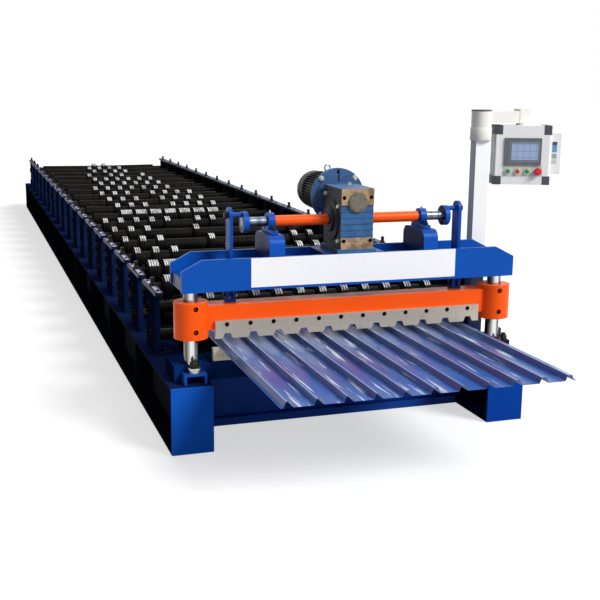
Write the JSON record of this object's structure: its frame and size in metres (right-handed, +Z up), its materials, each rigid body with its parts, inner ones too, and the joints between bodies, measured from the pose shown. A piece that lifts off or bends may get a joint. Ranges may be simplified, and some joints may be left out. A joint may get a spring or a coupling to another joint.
{
  "type": "roll forming machine",
  "caption": "Long roll forming line for ribbed sheet, with rows of roll shafts on a beam base, a crank driven shear at the exit and a control box on an arm.",
  "frame": {"origin": "on the floor, on the centre line, under the middle of the front cross member", "axes": "+X to the right of someone who faces the exit end, +Y along the machine towards the entry end, +Z up"},
  "size_m": [2.1694, 10.637, 1.568],
  "materials": {
    "black_steel": "blackened steel",
    "blue_paint": "gloss blue enamel",
    "bright_steel": "ground tool steel",
    "button_plastic": "red and green",
    "cast_housing": "blue painted casting",
    "chrome_bar": "hard chrome",
    "dark_blue_paint": "dark blue enamel",
    "dark_grey_plastic": "dark grey",
    "grey_paint": "satin light grey",
    "motor_black": "black paint",
    "orange_paint": "gloss orange enamel",
    "raw_casting": "bare machined casting",
    "screen_plastic": "dark bezel",
    "sheet_film": "glossy blue coated sheet",
    "white_paint": "gloss white"
  },
  "bodies": {
    "machine_base": {"adjusting_screws": "black_steel", "base_cross_members": "blue_paint", "bearing_brackets": "blue_paint", "bottom_beam": "dark_blue_paint", "control_post": "grey_paint", "drive_motor": "motor_black", "entry_table": "dark_blue_paint", "formed_sheet": "sheet_film", "frame_cross_plates": "blue_paint", "front_cross_member": "blue_paint", "front_frame_plate": "blue_paint", "gear_reducer": "cast_housing", "guide_posts": "chrome_bar", "hold_down_clamps": "blue_paint", "left_base_beam": "blue_paint", "left_stand_plates": "dark_blue_paint", "left_tie_strips": "dark_blue_paint", "lower_blade": "bright_steel", "lower_rolls": "black_steel", "motor_flange": "cast_housing", "pillow_blocks": "blue_paint", "post_seats": "dark_blue_paint", "rear_frame_plate": "blue_paint", "reducer_cover": "raw_casting", "right_base_beam": "blue_paint", "right_stand_plates": "dark_blue_paint", "right_top_rail": "dark_blue_paint", "sign_plate": "white_paint"},
    "shear_carriage": {"upper_blade": "bright_steel", "blade_beam": "orange_paint", "guide_sleeves": "orange_paint", "beam_clevises": "blue_paint"},
    "crank": {"crank_shaft": "bright_steel", "crank_tubes": "orange_paint", "crank_discs": "blue_paint"},
    "connecting_rods": {"left_connecting_rod": "blue_paint", "right_connecting_rod": "blue_paint"},
    "control_arm": {"control_arm": "grey_paint"},
    "control_box": {"control_box": "white_paint", "box_corners": "dark_grey_plastic", "touch_screen": "screen_plastic", "push_buttons": "button_plastic"},
    "upper_roll_01": {"upper_roll_01": "black_steel"},
    "upper_roll_02": {"upper_roll_02": "black_steel"},
    "upper_roll_03": {"upper_roll_03": "black_steel"},
    "upper_roll_04": {"upper_roll_04": "black_steel"},
    "upper_roll_05": {"upper_roll_05": "black_steel"},
    "upper_roll_06": {"upper_roll_06": "black_steel"},
    "upper_roll_07": {"upper_roll_07": "black_steel"},
    "upper_roll_08": {"upper_roll_08": "black_steel"},
    "upper_roll_09": {"upper_roll_09": "black_steel"},
    "upper_roll_10": {"upper_roll_10": "black_steel"},
    "upper_roll_11": {"upper_roll_11": "black_steel"},
    "upper_roll_12": {"upper_roll_12": "black_steel"},
    "upper_roll_13": {"upper_roll_13": "black_steel"},
    "upper_roll_14": {"upper_roll_14": "black_steel"},
    "upper_roll_15": {"upper_roll_15": "black_steel"},
    "upper_roll_16": {"upper_roll_16": "black_steel"},
    "upper_roll_17": {"upper_roll_17": "black_steel"},
    "upper_roll_18": {"upper_roll_18": "black_steel"}
  },
  "joints": [
    {"name": "blade_slide", "type": "slide", "parent": "machine_base", "child": "shear_carriage", "axis": [0, 0, 1], "range_m": [-0.044, 0]},
    {"name": "crank_turn", "type": "hinge", "parent": "machine_base", "child": "crank", "pos_m": [0, -0.2175, 1.05], "axis": [1, 0, 0], "continuous": true},
    {"name": "rod_turn", "type": "hinge", "parent": "crank", "child": "connecting_rods", "pos_m": [0, -0.2175, 1.085], "axis": [1, 0, 0], "continuous": true},
    {"name": "arm_swivel", "type": "hinge", "parent": "machine_base", "child": "control_arm", "pos_m": [0.811, -0.02, 1.406], "axis": [0, 0, 1], "range_deg": [-90, 90]},
    {"name": "box_swivel", "type": "hinge", "parent": "control_arm", "child": "control_box", "pos_m": [1.051, -0.02, 1.484], "axis": [0, 0, 1], "range_deg": [-90, 90]},
    {"name": "roll_01_turn", "type": "hinge", "parent": "machine_base", "child": "upper_roll_01", "pos_m": [0, 0.331, 0.544], "axis": [1, 0, 0], "continuous": true},
    {"name": "roll_02_turn", "type": "hinge", "parent": "machine_base", "child": "upper_roll_02", "pos_m": [0, 0.831, 0.544], "axis": [1, 0, 0], "continuous": true},
    {"name": "roll_03_turn", "type": "hinge", "parent": "machine_base", "child": "upper_roll_03", "pos_m": [0, 1.331, 0.544], "axis": [1, 0, 0], "continuous": true},
    {"name": "roll_04_turn", "type": "hinge", "parent": "machine_base", "child": "upper_roll_04", "pos_m": [0, 1.831, 0.544], "axis": [1, 0, 0], "continuous": true},
    {"name": "roll_05_turn", "type": "hinge", "parent": "machine_base", "child": "upper_roll_05", "pos_m": [0, 2.331, 0.544], "axis": [1, 0, 0], "continuous": true},
    {"name": "roll_06_turn", "type": "hinge", "parent": "machine_base", "child": "upper_roll_06", "pos_m": [0, 2.831, 0.544], "axis": [1, 0, 0], "continuous": true},
    {"name": "roll_07_turn", "type": "hinge", "parent": "machine_base", "child": "upper_roll_07", "pos_m": [0, 3.331, 0.544], "axis": [1, 0, 0], "continuous": true},
    {"name": "roll_08_turn", "type": "hinge", "parent": "machine_base", "child": "upper_roll_08", "pos_m": [0, 3.831, 0.544], "axis": [1, 0, 0], "continuous": true},
    {"name": "roll_09_turn", "type": "hinge", "parent": "machine_base", "child": "upper_roll_09", "pos_m": [0, 4.331, 0.544], "axis": [1, 0, 0], "continuous": true},
    {"name": "roll_10_turn", "type": "hinge", "parent": "machine_base", "child": "upper_roll_10", "pos_m": [0, 4.831, 0.544], "axis": [1, 0, 0], "continuous": true},
    {"name": "roll_11_turn", "type": "hinge", "parent": "machine_base", "child": "upper_roll_11", "pos_m": [0, 5.331, 0.544], "axis": [1, 0, 0], "continuous": true},
    {"name": "roll_12_turn", "type": "hinge", "parent": "machine_base", "child": "upper_roll_12", "pos_m": [0, 5.831, 0.544], "axis": [1, 0, 0], "continuous": true},
    {"name": "roll_13_turn", "type": "hinge", "parent": "machine_base", "child": "upper_roll_13", "pos_m": [0, 6.331, 0.544], "axis": [1, 0, 0], "continuous": true},
    {"name": "roll_14_turn", "type": "hinge", "parent": "machine_base", "child": "upper_roll_14", "pos_m": [0, 6.831, 0.544], "axis": [1, 0, 0], "continuous": true},
    {"name": "roll_15_turn", "type": "hinge", "parent": "machine_base", "child": "upper_roll_15", "pos_m": [0, 7.331, 0.544], "axis": [1, 0, 0], "continuous": true},
    {"name": "roll_16_turn", "type": "hinge", "parent": "machine_base", "child": "upper_roll_16", "pos_m": [0, 7.831, 0.544], "axis": [1, 0, 0], "continuous": true},
    {"name": "roll_17_turn", "type": "hinge", "parent": "machine_base", "child": "upper_roll_17", "pos_m": [0, 8.331, 0.544], "axis": [1, 0, 0], "continuous": true},
    {"name": "roll_18_turn", "type": "hinge", "parent": "machine_base", "child": "upper_roll_18", "pos_m": [0, 8.831, 0.544], "axis": [1, 0, 0], "continuous": true}
  ],
  "couplings": [
    {"joint": "rod_turn", "follows": "crank_turn", "ratio": -1},
    {"joint": "roll_02_turn", "follows": "roll_01_turn", "ratio": 1},
    {"joint": "roll_03_turn", "follows": "roll_01_turn", "ratio": 1},
    {"joint": "roll_04_turn", "follows": "roll_01_turn", "ratio": 1},
    {"joint": "roll_05_turn", "follows": "roll_01_turn", "ratio": 1},
    {"joint": "roll_06_turn", "follows": "roll_01_turn", "ratio": 1},
    {"joint": "roll_07_turn", "follows": "roll_01_turn", "ratio": 1},
    {"joint": "roll_08_turn", "follows": "roll_01_turn", "ratio": 1},
    {"joint": "roll_09_turn", "follows": "roll_01_turn", "ratio": 1},
    {"joint": "roll_10_turn", "follows": "roll_01_turn", "ratio": 1},
    {"joint": "roll_11_turn", "follows": "roll_01_turn", "ratio": 1},
    {"joint": "roll_12_turn", "follows": "roll_01_turn", "ratio": 1},
    {"joint": "roll_13_turn", "follows": "roll_01_turn", "ratio": 1},
    {"joint": "roll_14_turn", "follows": "roll_01_turn", "ratio": 1},
    {"joint": "roll_15_turn", "follows": "roll_01_turn", "ratio": 1},
    {"joint": "roll_16_turn", "follows": "roll_01_turn", "ratio": 1},
    {"joint": "roll_17_turn", "follows": "roll_01_turn", "ratio": 1},
    {"joint": "roll_18_turn", "follows": "roll_01_turn", "ratio": 1}
  ]
}
